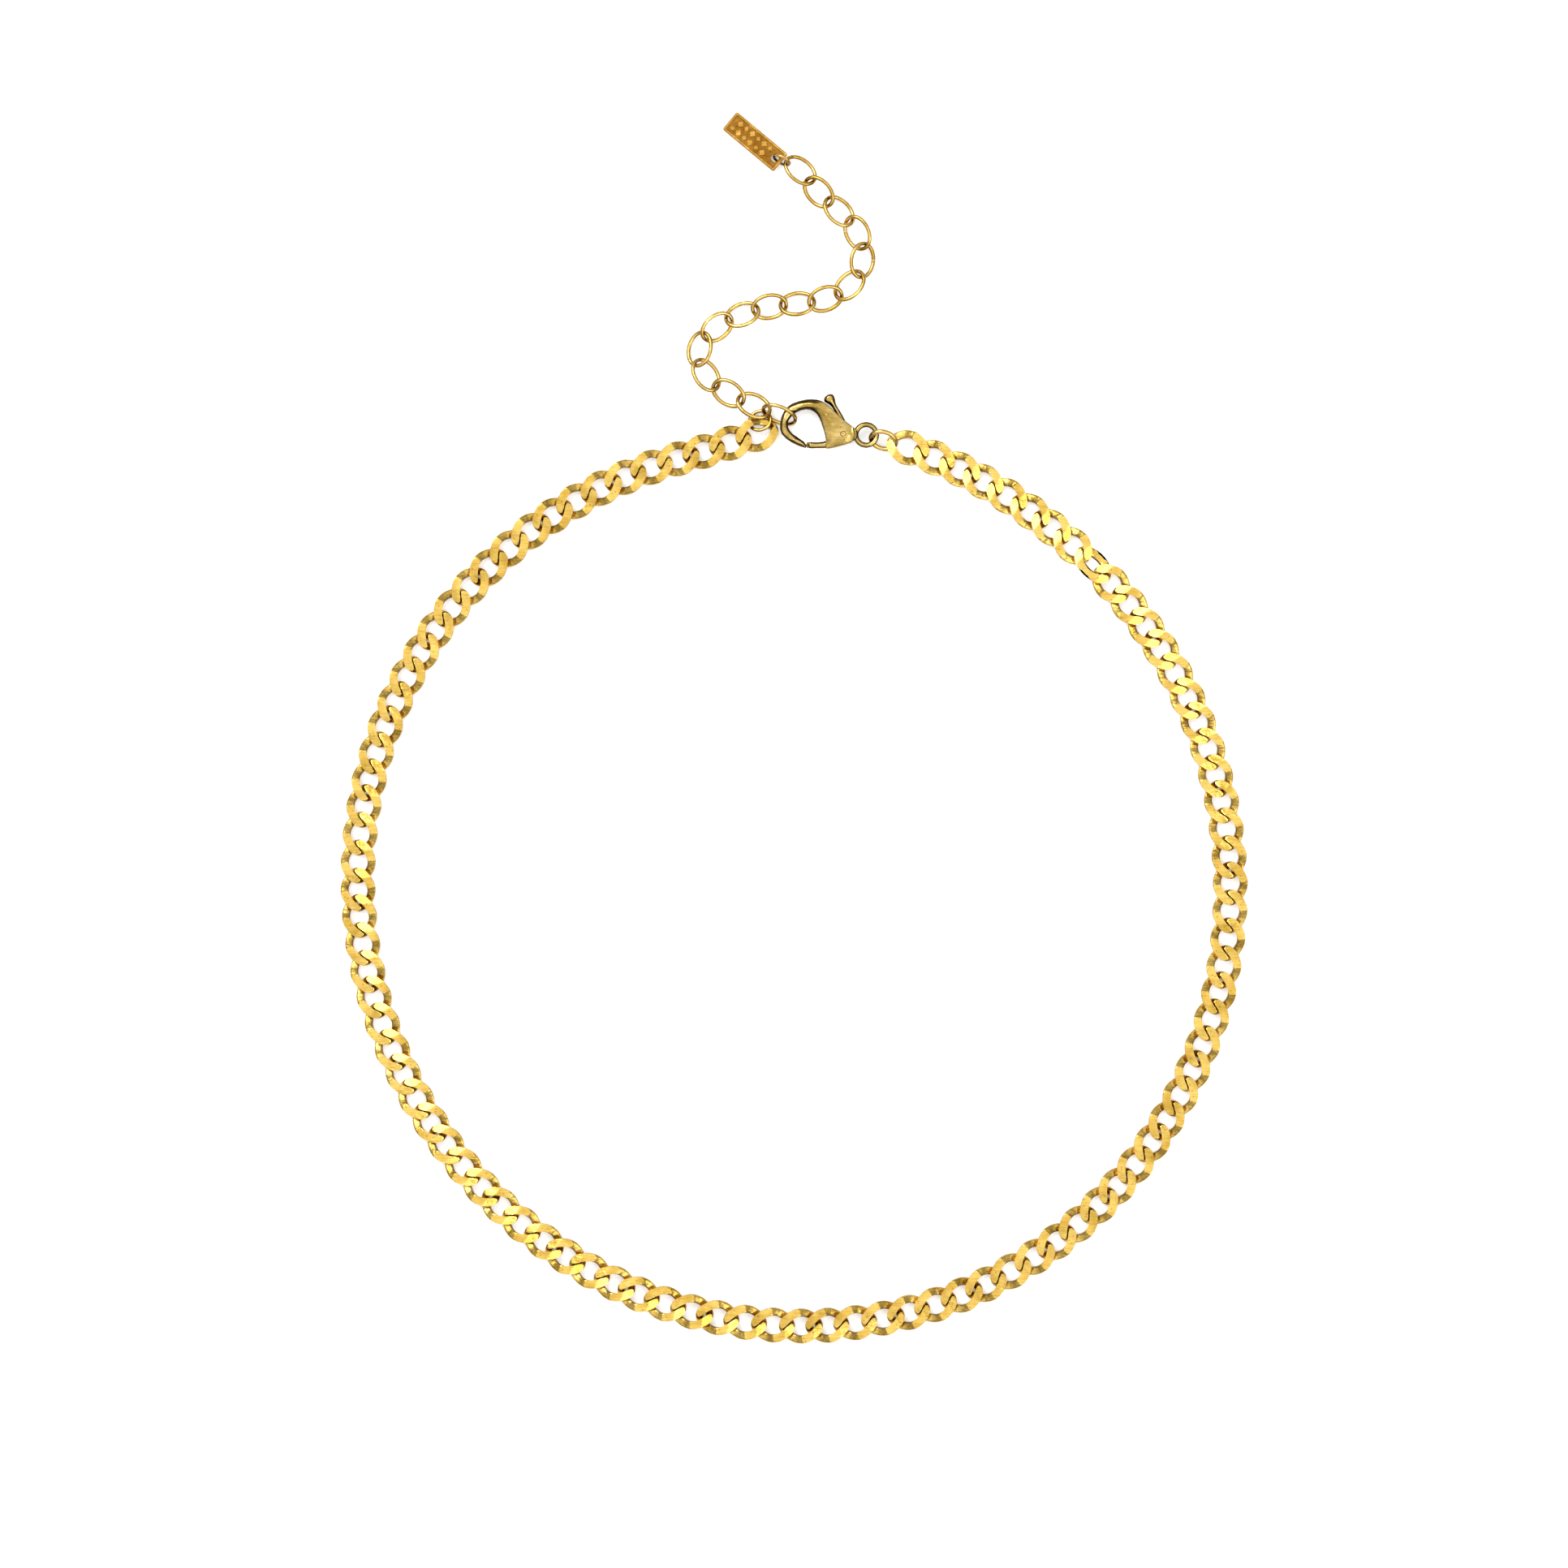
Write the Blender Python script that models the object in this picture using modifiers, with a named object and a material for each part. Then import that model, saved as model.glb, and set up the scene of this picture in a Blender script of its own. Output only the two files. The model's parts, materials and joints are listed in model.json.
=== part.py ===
"""Curb chain necklace with a lobster clasp, a ring extender and an end tag.

The necklace lies closed on a table. +X is right, +Y is up along the extender, +Z is up from
the table. The origin is the middle of the necklace's footprint, on the table.
"""
import math

import bmesh
import bpy
from mathutils import Matrix, Vector

MM = 0.001
NAME = "chain_necklace"

# Loop of the curb chain: angles run clockwise from the top, seen from above
LOOP_CENTRE = Vector((0.09 * MM, -20.2 * MM))
LOOP_RADIUS = 56.3 * MM
OVAL_RADIUS = 0.47 * MM
OVAL_ANGLE = math.radians(-25)
TRIANGLE_RADIUS = 0.09 * MM
TRIANGLE_ANGLE = math.radians(34)
PULL_RADIUS = 2.08 * MM
PULL_ANGLE = math.radians(0.2)
PULL_SPREAD_BEFORE = math.radians(8)
PULL_SPREAD_AFTER = math.radians(26)
FIRST_LINK_ANGLE = math.radians(14.5)
LAST_LINK_ANGLE = math.radians(355.2)
ARC_STEPS = 3600

# Curb links
LINK_COUNT = 96
LINK_LENGTH = 5.68 * MM
LINK_WIDTH = 4.5 * MM
LINK_WIRE = 1.05 * MM
LINK_TWIST = math.radians(44)
LINK_HALF_HEIGHT = 0.83 * MM
LINK_STEPS = 10
WIRE_RESOLUTION = 1
LAST_MIRRORED_LINK = 8
RUN_SLACK = 0.2 * MM
QUARTER = 25
RUNS_PER_QUARTER = 8
LINKS_PER_RUN = 3

# Jump rings at the two ends of the curb chain: place, then heading, pitch and tilt in degrees
CLASP_RING_WIRE = 0.4 * MM
CLASP_RING_LENGTH = 3.8 * MM
CLASP_RING_WIDTH = 3.2 * MM
CLASP_RING_PLACE = Vector((11.45, 36.87, 1.13)) * MM
CLASP_RING_TURNS = (-19.7, 7.9, 40.1)
END_RING_WIRE = 0.3 * MM
END_RING_LENGTH = 3.2 * MM
END_RING_WIDTH = 2.9 * MM
END_RING_PLACE = Vector((-4.38, 39.43, 0.62)) * MM
END_RING_TURNS = (17.7, -8.4, -17.6)

# Extender: oval rings, each through the next, from the clasp to the tag
OVAL_WIRE = 0.44 * MM
OVAL_LENGTH = 4.9 * MM
OVAL_WIDTH = 3.7 * MM
OVAL_TILT = math.radians(28)
OVAL_HEIGHT = 1.1 * MM
OVAL_STEPS = 12
OVAL_COUNT = 16
EXTENDER_ROUTE = [
    (-1.9, 39.8), (-5.9, 41.7), (-9.5, 43.6), (-12.0, 46.3), (-11.9, 49.2), (-9.6, 51.6),
    (-6.1, 53.2), (-2.2, 54.2), (1.5, 54.5), (5.0, 55.4), (7.8, 57.5), (8.8, 60.6),
    (7.9, 63.9), (5.2, 66.8), (2.7, 69.2), (0.8, 71.5),
]
ROUTE_STEPS = 40
HOOKED_PLACE = Vector((-1.9, 40.16, 1.55)) * MM
HOOKED_TURNS = (155.9, -9.9, -54.5)

# Tag and its ring
TAG_LENGTH = 8.5 * MM
TAG_WIDTH = 2.9 * MM
TAG_THICKNESS = 0.6 * MM
TAG_RIM = 0.28 * MM
TAG_RECESS = 0.14 * MM
TAG_PLACE = Vector((-5.0, 75.2, 0.9)) * MM
TAG_HEADING = math.radians(-40.4)
TAG_HOLE_INSET = 0.95 * MM
TAG_HOLE_RADIUS = 0.5 * MM
TAG_RING_WIRE = 0.34 * MM
TAG_RING_DIAMETER = 2.5 * MM
TAG_RING_PLACE = Vector((-1.58, 72.8, 1.3)) * MM
TAG_RING_TURNS = (-28.7, 6.7, 71.0)

# Lobster clasp, drawn in plan around its own centre
CLASP_CENTRE = Vector((3.0, 39.0, 1.25)) * MM
CLASP_THICKNESS = 2.5 * MM
CLASP_EDGE = 0.42 * MM
HOOK_TAPER_START = -2.6 * MM
HOOK_TAPER_END = 1.0 * MM
HOOK_THINNEST = 0.44
HOOK_OUTLINE = [
    (-1.5, -3.15), (-3.3, -2.45), (-4.6, -1.35), (-4.8, 0.0), (-4.35, 1.5), (-3.3, 2.55),
    (-1.4, 3.1), (-0.1, 3.05), (0.9, 2.65), (2.0, 1.7), (3.35, 0.45), (4.5, -0.45),
    (4.95, -0.95), (4.95, -1.9), (4.2, -2.45), (3.1, -2.8), (1.9, -3.1), (1.05, -3.15),
    (1.1, -2.1), (0.75, -0.65),
    (0.15, 0.85), (-0.5, 1.55), (-1.5, 1.8), (-2.75, 1.4), (-3.7, 0.45), (-3.75, -0.5),
    (-3.15, -1.35), (-1.7, -2.35),
]
EYE_PLACE = Vector((6.25, -1.45)) * MM
EYE_DIAMETER = 3.4 * MM
EYE_WIRE = 0.72 * MM
LEVER_PIVOT = Vector((3.3, -1.35)) * MM
LEVER_THICKNESS = 0.8 * MM
SLOT_WIDTH = 1.4 * MM
LEVER_OUTLINE = [
    (-1.35, -3.1), (0.0, -3.15), (1.6, -3.05), (2.8, -2.45), (3.7, -1.95), (3.95, -1.3),
    (3.85, -0.5), (3.5, 0.5), (2.9, 1.6), (2.2, 2.7), (1.85, 3.5), (1.45, 3.75), (1.1, 3.5),
    (1.2, 2.95), (1.95, 2.0), (2.55, 0.7), (2.7, -0.5), (2.2, -1.5), (1.2, -2.2), (0.0, -2.4),
    (-1.35, -2.4),
]
SLOT_OUTLINE = [
    (0.0, -3.9), (4.3, -3.9), (4.3, 0.6), (3.4, 4.2), (0.6, 4.2), (0.6, 2.75), (1.5, 1.75),
    (2.1, 0.9), (2.1, 0.0), (0.0, 0.0),
]
LEVER_SHIFT = -0.2 * MM
PIN_RADIUS = 0.3 * MM
PIN_GAP = 0.04 * MM
SPRING_WIRE = 0.16 * MM
SPRING_TURNS = 1.6
SPRING_STEPS = 10
SPRING_BASE = 0.32 * MM
SPRING_PITCH = 0.17 * MM

COLOURS = {
    "curb": ((0.92, 0.72, 0.30, 1.0), 0.25),
    "rings": ((0.88, 0.64, 0.25, 1.0), 0.22),
    "clasp": ((0.62, 0.46, 0.18, 1.0), 0.20),
    "steel": ((0.60, 0.60, 0.58, 1.0), 0.30),
    "tag": ((0.85, 0.58, 0.22, 1.0), 0.40),
}


# ---------------------------------------------------------------- scene and materials
def clear_scene():
    """Remove every object of the open scene."""
    for item in list(bpy.data.objects):
        bpy.data.objects.remove(item, do_unlink=True)


def new_collection(name):
    """A collection linked to the scene."""
    collection = bpy.data.collections.new(name)
    bpy.context.scene.collection.children.link(collection)
    return collection


def material(name, kind):
    """A metal of its own for one sub-part."""
    colour, roughness = COLOURS[kind]
    metal = bpy.data.materials.new(name)
    metal.use_nodes = True
    shader = metal.node_tree.nodes["Principled BSDF"]
    shader.inputs["Base Color"].default_value = colour
    shader.inputs["Metallic"].default_value = 1.0
    shader.inputs["Roughness"].default_value = roughness
    metal.diffuse_color = colour
    return metal


def add_part(name, mesh, kind, origin=Vector((0, 0, 0))):
    """An object of the necklace whose origin is moved to its joint's axis."""
    mesh.transform(Matrix.Translation(-origin))
    mesh.name = name
    mesh.materials.clear()
    mesh.materials.append(material(name, kind))
    mesh.shade_smooth()
    mesh.set_sharp_from_angle(angle=math.radians(35))
    item = bpy.data.objects.new(name, mesh)
    item.location = origin
    parts.objects.link(item)
    return item


# ---------------------------------------------------------------- mesh building
def evaluated_mesh(item):
    """The mesh of an object after its modifiers, in world space. The object is removed."""
    bpy.context.view_layer.update()
    graph = bpy.context.evaluated_depsgraph_get()
    mesh = bpy.data.meshes.new_from_object(item.evaluated_get(graph))
    mesh.transform(item.matrix_world)
    bpy.data.objects.remove(item, do_unlink=True)
    return mesh


def weld(mesh):
    """Join the points that lie on one another."""
    work = bmesh.new()
    work.from_mesh(mesh)
    bmesh.ops.remove_doubles(work, verts=work.verts, dist=0.001 * MM)
    bmesh.ops.recalc_face_normals(work, faces=work.faces)
    work.to_mesh(mesh)
    work.free()


def wire_mesh(points, wire, closed, resolution):
    """A round wire of one diameter along a list of points."""
    curve = bpy.data.curves.new("wire", "CURVE")
    curve.dimensions = "3D"
    curve.bevel_depth = wire / 2
    curve.bevel_resolution = resolution
    curve.use_fill_caps = True
    spline = curve.splines.new("POLY")
    spline.points.add(len(points) - 1)
    for slot, point in zip(spline.points, points):
        slot.co = (*point, 1.0)
    spline.use_cyclic_u = closed
    item = bpy.data.objects.new("wire", curve)
    tools.objects.link(item)
    mesh = evaluated_mesh(item)
    weld(mesh)
    return mesh


def flat_mesh(outline, holes, thickness, edge):
    """A plate of one outline, with its edges rounded."""
    curve = bpy.data.curves.new("plate", "CURVE")
    curve.dimensions = "2D"
    curve.fill_mode = "BOTH"
    curve.extrude = thickness / 2
    for ring in [outline, *holes]:
        spline = curve.splines.new("POLY")
        spline.points.add(len(ring) - 1)
        for slot, point in zip(spline.points, ring):
            slot.co = (point[0], point[1], 0.0, 1.0)
        spline.use_cyclic_u = True
    item = bpy.data.objects.new("plate", curve)
    tools.objects.link(item)
    mesh = evaluated_mesh(item)
    weld(mesh)
    if not edge:
        return mesh
    item = bpy.data.objects.new("plate", mesh)
    tools.objects.link(item)
    bevel = item.modifiers.new("edge", "BEVEL")
    bevel.width = edge
    bevel.segments = 2
    bevel.limit_method = "ANGLE"
    bevel.angle_limit = math.radians(60)
    return evaluated_mesh(item)


def combine(base, others, operation):
    """One mesh joined with, or cut by, the others."""
    item = bpy.data.objects.new("base", base)
    tools.objects.link(item)
    helpers = []
    for mesh in others:
        helper = bpy.data.objects.new("tool", mesh)
        helper.hide_render = True
        helper.display_type = "WIRE"
        tools.objects.link(helper)
        change = item.modifiers.new(operation.lower(), "BOOLEAN")
        change.operation = operation
        change.solver = "EXACT"
        change.object = helper
        helpers.append(helper)
    mesh = evaluated_mesh(item)
    for helper in helpers:
        bpy.data.objects.remove(helper, do_unlink=True)
    weld(mesh)
    return mesh


def cylinder_mesh(radius, length, centre, segments):
    """An upright cylinder."""
    work = bmesh.new()
    bmesh.ops.create_cone(work, cap_ends=True, segments=segments, radius1=radius, radius2=radius,
                          depth=length, matrix=Matrix.Translation(centre))
    mesh = bpy.data.meshes.new("cylinder")
    work.to_mesh(mesh)
    work.free()
    return mesh


def box_mesh(size, centre):
    """A box along the axes."""
    work = bmesh.new()
    bmesh.ops.create_cube(work, size=1.0, matrix=Matrix.Translation(centre) @ Matrix.Diagonal((*size, 1)))
    mesh = bpy.data.meshes.new("box")
    work.to_mesh(mesh)
    work.free()
    return mesh


def oval_points(length, width, steps):
    """The centreline of a flat oval ring, long way along X."""
    turn = [2 * math.pi * step / steps for step in range(steps)]
    return [Vector((length / 2 * math.cos(t), width / 2 * math.sin(t), 0)) for t in turn]


def pose(place, heading, tilt=0.0):
    """A place, a heading about +Z and a tilt about the piece's own long way."""
    return Matrix.Translation(place) @ Matrix.Rotation(heading, 4, "Z") @ Matrix.Rotation(tilt, 4, "X")


def turned_pose(place, turns):
    """A place with a heading about +Z, a pitch and a tilt, in degrees."""
    heading, pitch, tilt = (math.radians(turn) for turn in turns)
    pitched = pose(place, heading) @ Matrix.Rotation(pitch, 4, "Y")
    return pitched @ Matrix.Rotation(tilt, 4, "X")


# ---------------------------------------------------------------- the curb chain's loop
def loop_radius(angle):
    """Radius of the loop: nearly round, and pulled out to the clasp at the top."""
    turn = (angle - PULL_ANGLE + math.pi) % (2 * math.pi) - math.pi
    spread = PULL_SPREAD_BEFORE if turn < 0 else PULL_SPREAD_AFTER
    oval = OVAL_RADIUS * math.cos(2 * (angle - OVAL_ANGLE))
    triangle = TRIANGLE_RADIUS * math.cos(3 * (angle - TRIANGLE_ANGLE))
    return LOOP_RADIUS + oval + triangle + PULL_RADIUS * math.exp(-(turn / spread) ** 2)


def loop_point(angle):
    """A point of the loop, at an angle clockwise from the top."""
    radius = loop_radius(angle)
    return LOOP_CENTRE + Vector((radius * math.sin(angle), radius * math.cos(angle)))


def run_ends():
    """The first and last link of each run of links, all round the chain."""
    runs = []
    for quarter in range(4):
        start = quarter * QUARTER + 1
        for run in range(RUNS_PER_QUARTER):
            last = start + LINKS_PER_RUN - 1
            if run == RUNS_PER_QUARTER - 1:
                last = (quarter + 1) * QUARTER
            if start <= LINK_COUNT:
                runs.append((start, min(last, LINK_COUNT)))
            start = last + 1
    return runs


def run_slack():
    """How far back each link is set, because a joint between two runs is a little looser."""
    lasts = {last for _, last in run_ends()}
    slack = [0.0]
    for link in range(1, LINK_COUNT):
        slack.append(slack[-1] - (RUN_SLACK if link in lasts else 0.0))
    return slack


def link_places():
    """Place, heading along the chain, and angle of each link."""
    span = LAST_LINK_ANGLE - FIRST_LINK_ANGLE
    angles = [FIRST_LINK_ANGLE + span * step / ARC_STEPS for step in range(ARC_STEPS + 1)]
    lengths = [0.0]
    for before, after in zip(angles, angles[1:]):
        lengths.append(lengths[-1] + (loop_point(after) - loop_point(before)).length)
    slack = run_slack()
    pitch = (lengths[-1] - slack[-1]) / (LINK_COUNT - 1)
    places = []
    spot = 0
    for link in range(LINK_COUNT):
        goal = link * pitch + slack[link]
        while spot < ARC_STEPS - 1 and lengths[spot + 1] < goal:
            spot += 1
        share = (goal - lengths[spot]) / (lengths[spot + 1] - lengths[spot])
        angle = angles[spot] + share * (angles[spot + 1] - angles[spot])
        ahead = loop_point(angle + 0.001) - loop_point(angle - 0.001)
        place = loop_point(angle).to_3d() + Vector((0, 0, LINK_HALF_HEIGHT))
        places.append((place, math.atan2(ahead.y, ahead.x)))
    return places


def link_twists(number):
    """Twist at the start and at the end of a link. The first links are laid the other way."""
    start = -1 if number <= LAST_MIRRORED_LINK + 1 else 1
    end = -1 if number <= LAST_MIRRORED_LINK else 1
    return start, end


def curb_link_mesh(start, end):
    """A twisted oval link, ground flat above and below."""
    half_length = (LINK_LENGTH - LINK_WIRE) / 2
    half_width = (LINK_WIDTH - LINK_WIRE) / 2
    points = []
    for step in range(LINK_STEPS):
        turn = 2 * math.pi * step / LINK_STEPS
        ahead = (1 + math.cos(turn)) / 2
        twist = LINK_TWIST * (start * (1 - ahead) - end * ahead)
        side = half_width * math.sin(turn)
        points.append(Vector((half_length * math.cos(turn), side * math.cos(twist), side * math.sin(twist))))
    mesh = wire_mesh(points, LINK_WIRE, True, WIRE_RESOLUTION)
    for vertex in mesh.vertices:
        vertex.co.z = max(-LINK_HALF_HEIGHT, min(LINK_HALF_HEIGHT, vertex.co.z))
    return mesh


def placed(mesh, matrix):
    """A copy of a mesh, moved to its place."""
    copy = mesh.copy()
    copy.transform(matrix)
    return copy


def boundary(places, number):
    """The hinge point between a link and the next one."""
    if number == 0:
        return places[0][0] - heading_vector(places[0][1]) * (LINK_LENGTH - LINK_WIRE) / 2
    if number == LINK_COUNT:
        return places[-1][0] + heading_vector(places[-1][1]) * (LINK_LENGTH - LINK_WIRE) / 2
    return (places[number - 1][0] + places[number][0]) / 2


def heading_vector(heading):
    """A unit vector in plan."""
    return Vector((math.cos(heading), math.sin(heading), 0))


def add_curb_chain():
    """The curb links, joined into short runs that bend at the joints between them."""
    places = link_places()
    shapes = {twists: curb_link_mesh(*twists) for twists in ((-1, -1), (-1, 1), (1, 1))}
    root = len(run_ends()) // 2 + 1
    for index, (first, last) in enumerate(run_ends(), start=1):
        links = []
        for number in range(first, last + 1):
            place, heading = places[number - 1]
            links.append(placed(shapes[link_twists(number)], pose(place, heading)))
        origin = boundary(places, last if index < root else first - 1)
        add_part(f"curb_run_{index:02d}", combine(links[0], links[1:], "UNION"), "curb", origin)


# ---------------------------------------------------------------- rings
def ring_mesh(length, width, wire, steps, matrix):
    """A closed ring of round wire, given its outer length and width."""
    points = [matrix @ point for point in oval_points(length - wire, width - wire, steps)]
    return wire_mesh(points, wire, True, WIRE_RESOLUTION)


def even_spots(route, count):
    """Points at even spacing along a smooth line through the route's points."""
    knots = [route[0], *route, route[-1]]
    line = []
    for before, here, after, beyond in zip(knots, knots[1:], knots[2:], knots[3:]):
        for step in range(ROUTE_STEPS):
            line.append(smooth_point(before, here, after, beyond, step / ROUTE_STEPS))
    line.append(route[-1])
    lengths = [0.0]
    for before, after in zip(line, line[1:]):
        lengths.append(lengths[-1] + (after - before).length)
    spots = []
    for index in range(count):
        goal = lengths[-1] * index / (count - 1)
        nearest = min(range(len(line)), key=lambda place: abs(lengths[place] - goal))
        spots.append(line[nearest])
    return spots


def smooth_point(before, here, after, beyond, t):
    """A point between two knots of a smooth line."""
    bend = 2 * before - 5 * here + 4 * after - beyond
    return 0.5 * (2 * here + (after - before) * t + bend * t * t + (3 * here - before - 3 * after + beyond) * t ** 3)


def extender_poses():
    """The pose of each extender ring, from the clasp to the tag, turned this way and that."""
    spots = even_spots([Vector((x, y, 0)) * MM for x, y in EXTENDER_ROUTE], OVAL_COUNT)
    spots.append(TAG_RING_PLACE)
    poses = [turned_pose(HOOKED_PLACE, HOOKED_TURNS)]
    for index in range(1, OVAL_COUNT):
        ahead = spots[index + 1] - spots[index - 1]
        tilt = OVAL_TILT if index % 2 else -OVAL_TILT
        place = spots[index] + Vector((0, 0, OVAL_HEIGHT))
        poses.append(pose(place, math.atan2(ahead.y, ahead.x), tilt))
    return poses


def extender_pivots(poses):
    """The hinge point of each extender ring with the piece before it."""
    pivots = [END_RING_PLACE.copy()]
    for before, after in zip(poses, poses[1:]):
        pivots.append((before.translation + after.translation) / 2)
    return pivots


def add_extender():
    """The oval rings that set the necklace's length."""
    poses = extender_poses()
    pivots = extender_pivots(poses)
    for index, (matrix, pivot) in enumerate(zip(poses, pivots), start=1):
        mesh = ring_mesh(OVAL_LENGTH, OVAL_WIDTH, OVAL_WIRE, OVAL_STEPS, matrix)
        add_part(f"extender_ring_{index:02d}", mesh, "rings", pivot)


def add_jump_rings():
    """The ring of the clasp and the ring that joins the chain to the extender."""
    places = link_places()
    clasp = turned_pose(CLASP_RING_PLACE, CLASP_RING_TURNS)
    mesh = ring_mesh(CLASP_RING_LENGTH, CLASP_RING_WIDTH, CLASP_RING_WIRE, OVAL_STEPS, clasp)
    add_part("clasp_jump_ring", mesh, "rings", boundary(places, 0))
    end = turned_pose(END_RING_PLACE, END_RING_TURNS)
    mesh = ring_mesh(END_RING_LENGTH, END_RING_WIDTH, END_RING_WIRE, OVAL_STEPS, end)
    add_part("end_jump_ring", mesh, "rings", boundary(places, LINK_COUNT))


# ---------------------------------------------------------------- tag
def tag_hole_place():
    """The centre of the tag's hole."""
    return TAG_PLACE + heading_vector(TAG_HEADING) * (TAG_LENGTH / 2 - TAG_HOLE_INSET)


def add_tag():
    """A plate with a raised rim, a hole at one end, and the ring that holds it."""
    plate = flat_mesh(rectangle(TAG_LENGTH, TAG_WIDTH), [], TAG_THICKNESS, 0.08 * MM)
    top = TAG_THICKNESS / 2
    recess = box_mesh((TAG_LENGTH - 2 * TAG_HOLE_INSET - 4 * TAG_RIM, TAG_WIDTH - 2 * TAG_RIM, TAG_RECESS * 2),
                      Vector((-TAG_HOLE_INSET, 0, top)))
    hole = cylinder_mesh(TAG_HOLE_RADIUS, TAG_THICKNESS * 3,
                         Vector((TAG_LENGTH / 2 - TAG_HOLE_INSET, 0, 0)), 20)
    mesh = combine(plate, [recess, hole], "DIFFERENCE")
    mesh.transform(pose(TAG_PLACE, TAG_HEADING))
    add_part("tag", mesh, "tag", tag_hole_place())
    turned = turned_pose(TAG_RING_PLACE, TAG_RING_TURNS)
    mesh = ring_mesh(TAG_RING_DIAMETER, TAG_RING_DIAMETER, TAG_RING_WIRE, OVAL_STEPS, turned)
    add_part("tag_ring", mesh, "rings", TAG_RING_PLACE)


def rectangle(length, width):
    """The corners of a rectangle round the origin."""
    return [(x * length / 2, y * width / 2) for x, y in ((-1, -1), (1, -1), (1, 1), (-1, 1))]


# ---------------------------------------------------------------- clasp
def rounded_outline(points, parts_per_side=2):
    """A closed outline through a few points, rounded between them."""
    count = len(points)
    outline = []
    for index in range(count):
        before, here, after, beyond = (Vector(points[(index + step) % count]) * MM for step in (-1, 0, 1, 2))
        for part in range(parts_per_side):
            outline.append(smooth_point(before, here, after, beyond, part / parts_per_side))
    return outline


def add_clasp():
    """The lobster clasp: hooked body, thumb lever, its pin and its spring."""
    body = flat_mesh(rounded_outline(HOOK_OUTLINE), [], CLASP_THICKNESS, CLASP_EDGE)
    for vertex in body.vertices:
        vertex.co.z *= hook_taper(vertex.co.x)
    eye = wire_mesh([EYE_PLACE.to_3d() + point for point in
                     oval_points(EYE_DIAMETER - EYE_WIRE, EYE_DIAMETER - EYE_WIRE, 16)], EYE_WIRE, True, 2)
    body = combine(body, [eye], "UNION")
    slot = flat_mesh([Vector(point) * MM for point in SLOT_OUTLINE], [], SLOT_WIDTH, 0)
    hole = cylinder_mesh(PIN_RADIUS + PIN_GAP, CLASP_THICKNESS * 2, LEVER_PIVOT.to_3d(), 16)
    body = combine(body, [slot, hole], "DIFFERENCE")
    place = Matrix.Translation(CLASP_CENTRE)
    body.transform(place)
    add_part("clasp_body", body, "clasp", CLASP_RING_PLACE)
    lever = flat_mesh(rounded_outline(LEVER_OUTLINE), [], LEVER_THICKNESS, 0.12 * MM)
    lever.transform(Matrix.Translation((0, 0, LEVER_SHIFT)))
    lever = combine(lever, [hole_for_pin()], "DIFFERENCE")
    lever.transform(place)
    pivot = CLASP_CENTRE + LEVER_PIVOT.to_3d()
    add_part("clasp_lever", lever, "clasp", pivot)
    add_part("clasp_pin", cylinder_mesh(PIN_RADIUS, CLASP_THICKNESS - 0.2 * MM, pivot, 16), "steel", pivot)
    turns = [2 * math.pi * step / SPRING_STEPS for step in range(int(SPRING_STEPS * SPRING_TURNS))]
    radius = PIN_RADIUS + PIN_GAP + SPRING_WIRE
    coil = [pivot + Vector((radius * math.cos(t), radius * math.sin(t), spring_height(t))) for t in turns]
    add_part("clasp_spring", wire_mesh(coil, SPRING_WIRE, False, WIRE_RESOLUTION), "steel", pivot)


def hook_taper(place):
    """Share of the body's thickness at a place along the clasp: the hook is thinner."""
    share = (place - HOOK_TAPER_START) / (HOOK_TAPER_END - HOOK_TAPER_START)
    return HOOK_THINNEST + (1 - HOOK_THINNEST) * max(0.0, min(1.0, share))


def spring_height(turn):
    """Height of the spring's coil above the clasp's middle: it lies on the lever."""
    return SPRING_BASE + SPRING_PITCH * turn / (2 * math.pi)


def hole_for_pin():
    """The bore of the lever."""
    return cylinder_mesh(PIN_RADIUS + PIN_GAP, CLASP_THICKNESS * 2, LEVER_PIVOT.to_3d(), 16)


clear_scene()
parts = new_collection(NAME)
tools = new_collection("cutters")
add_curb_chain()
add_jump_rings()
add_extender()
add_tag()
add_clasp()
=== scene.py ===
"""Looks of the curb chain necklace: every link, ring, clasp part and the tag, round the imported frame."""
import json
import math

import bmesh
import bpy
from mathutils import Matrix, Vector, kdtree


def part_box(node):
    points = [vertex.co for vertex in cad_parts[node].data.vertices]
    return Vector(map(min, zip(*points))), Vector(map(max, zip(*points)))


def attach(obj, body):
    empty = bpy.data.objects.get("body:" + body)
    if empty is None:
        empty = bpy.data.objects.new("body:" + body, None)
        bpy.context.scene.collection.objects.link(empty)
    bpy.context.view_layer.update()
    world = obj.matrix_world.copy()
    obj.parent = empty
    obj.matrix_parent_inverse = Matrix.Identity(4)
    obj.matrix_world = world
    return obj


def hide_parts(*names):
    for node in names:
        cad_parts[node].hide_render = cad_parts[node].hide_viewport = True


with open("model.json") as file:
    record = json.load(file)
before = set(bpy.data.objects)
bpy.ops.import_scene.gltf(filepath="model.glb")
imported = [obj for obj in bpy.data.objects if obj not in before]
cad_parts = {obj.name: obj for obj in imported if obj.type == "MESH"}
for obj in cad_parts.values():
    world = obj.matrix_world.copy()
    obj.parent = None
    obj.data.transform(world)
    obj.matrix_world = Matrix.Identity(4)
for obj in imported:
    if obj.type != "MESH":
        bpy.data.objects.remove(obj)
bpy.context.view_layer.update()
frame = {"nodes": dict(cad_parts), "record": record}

MM = 0.001

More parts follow.
